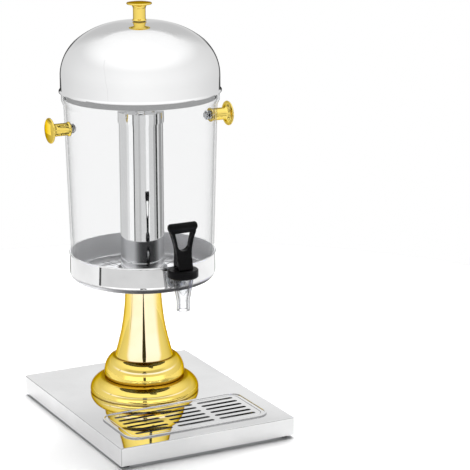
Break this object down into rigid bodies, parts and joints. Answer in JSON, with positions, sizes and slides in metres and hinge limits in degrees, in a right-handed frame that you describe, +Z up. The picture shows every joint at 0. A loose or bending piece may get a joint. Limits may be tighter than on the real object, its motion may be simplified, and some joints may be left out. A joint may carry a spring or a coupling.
{
  "type": "juice dispenser",
  "caption": "Buffet juice dispenser: clear jar with an ice tube in a steel pan on a turned gold pedestal, domed steel lid, lever tap and drip tray in a box base.",
  "frame": {"origin": "on the floor under the centre of the base, at the underside of the feet", "axes": "+Z up; the tap's side, the front, faces -Y; +X to the right seen from the front"},
  "size_m": [0.2752, 0.34, 0.5822],
  "materials": {
    "polished_steel": "mirror-polished stainless steel",
    "gold_plate": "bright gold plating",
    "plain_steel": "plain turned steel",
    "clear_jar": "clear polycarbonate",
    "clear_tap": "clear moulded plastic",
    "black_plastic": "black, satin gloss",
    "black_rubber": "matt black",
    "soft_seal": "translucent silicone"
  },
  "bodies": {
    "stand": {"base_housing": "polished_steel", "container_pan": "polished_steel", "pedestal": "gold_plate", "side_knob_left": "gold_plate", "side_knob_right": "gold_plate", "base_bottom_plate": "plain_steel", "foot_screws": "plain_steel", "tie_rod": "plain_steel", "tie_rod_washer": "plain_steel", "tie_rod_nut": "plain_steel", "jar_floor_washer": "plain_steel", "cap_nut": "plain_steel", "side_knob_screw_left": "plain_steel", "side_knob_screw_right": "plain_steel", "jar": "clear_jar", "tap_body": "clear_tap", "tap_bonnet": "black_plastic", "tap_nut": "black_plastic", "foot_front_left": "black_rubber", "foot_front_right": "black_rubber", "foot_rear_left": "black_rubber", "foot_rear_right": "black_rubber", "jar_floor_seal": "soft_seal", "side_knob_washer_left": "soft_seal", "side_knob_washer_right": "soft_seal", "side_screw_washer_left": "soft_seal", "side_screw_washer_right": "soft_seal", "tap_gasket_outer": "soft_seal", "tap_gasket_inner": "soft_seal", "bonnet_seal": "soft_seal"},
    "lid": {"lid_dome": "polished_steel", "lid_knob": "gold_plate", "lid_knob_screw": "plain_steel", "lid_knob_washer": "soft_seal", "lid_inner_washer": "soft_seal"},
    "drip_tray": {"drip_tray": "polished_steel"},
    "drip_grille": {"drip_grille": "polished_steel"},
    "ice_tube": {"ice_tube": "polished_steel"},
    "ice_tube_cap": {"ice_tube_cap": "polished_steel"},
    "tap_lever": {"tap_lever": "black_plastic"},
    "valve_plunger": {"valve_stem": "plain_steel", "seat_cup": "soft_seal", "lever_pin": "plain_steel"}
  },
  "joints": [
    {"name": "lid_lift", "type": "slide", "parent": "stand", "child": "lid", "axis": [0, 0, 1], "range_m": [0, 0.15]},
    {"name": "drip_tray_lift", "type": "slide", "parent": "stand", "child": "drip_tray", "axis": [0, 0, 1], "range_m": [0, 0.06]},
    {"name": "drip_grille_lift", "type": "slide", "parent": "drip_tray", "child": "drip_grille", "axis": [0, 0, 1], "range_m": [0, 0.05]},
    {"name": "ice_tube_lift", "type": "slide", "parent": "stand", "child": "ice_tube", "axis": [0, 0, 1], "range_m": [0, 0.05]},
    {"name": "ice_tube_cap_lift", "type": "slide", "parent": "ice_tube", "child": "ice_tube_cap", "axis": [0, 0, 1], "range_m": [0, 0.035]},
    {"name": "tap_lever_pull", "type": "hinge", "parent": "stand", "child": "tap_lever", "pos_m": [0, -0.103, 0.2388], "axis": [1, 0, 0], "range_deg": [0, 22], "stiffness_Nm_per_rad": 0.15, "springref_deg": -8.59},
    {"name": "valve_plunger_lift", "type": "slide", "parent": "stand", "child": "valve_plunger", "axis": [0, 0, 1], "range_m": [0, 0.0046]}
  ],
  "couplings": [
    {"joint": "valve_plunger_lift", "follows": "tap_lever_pull", "m_per_rad": 0.0119}
  ]
}
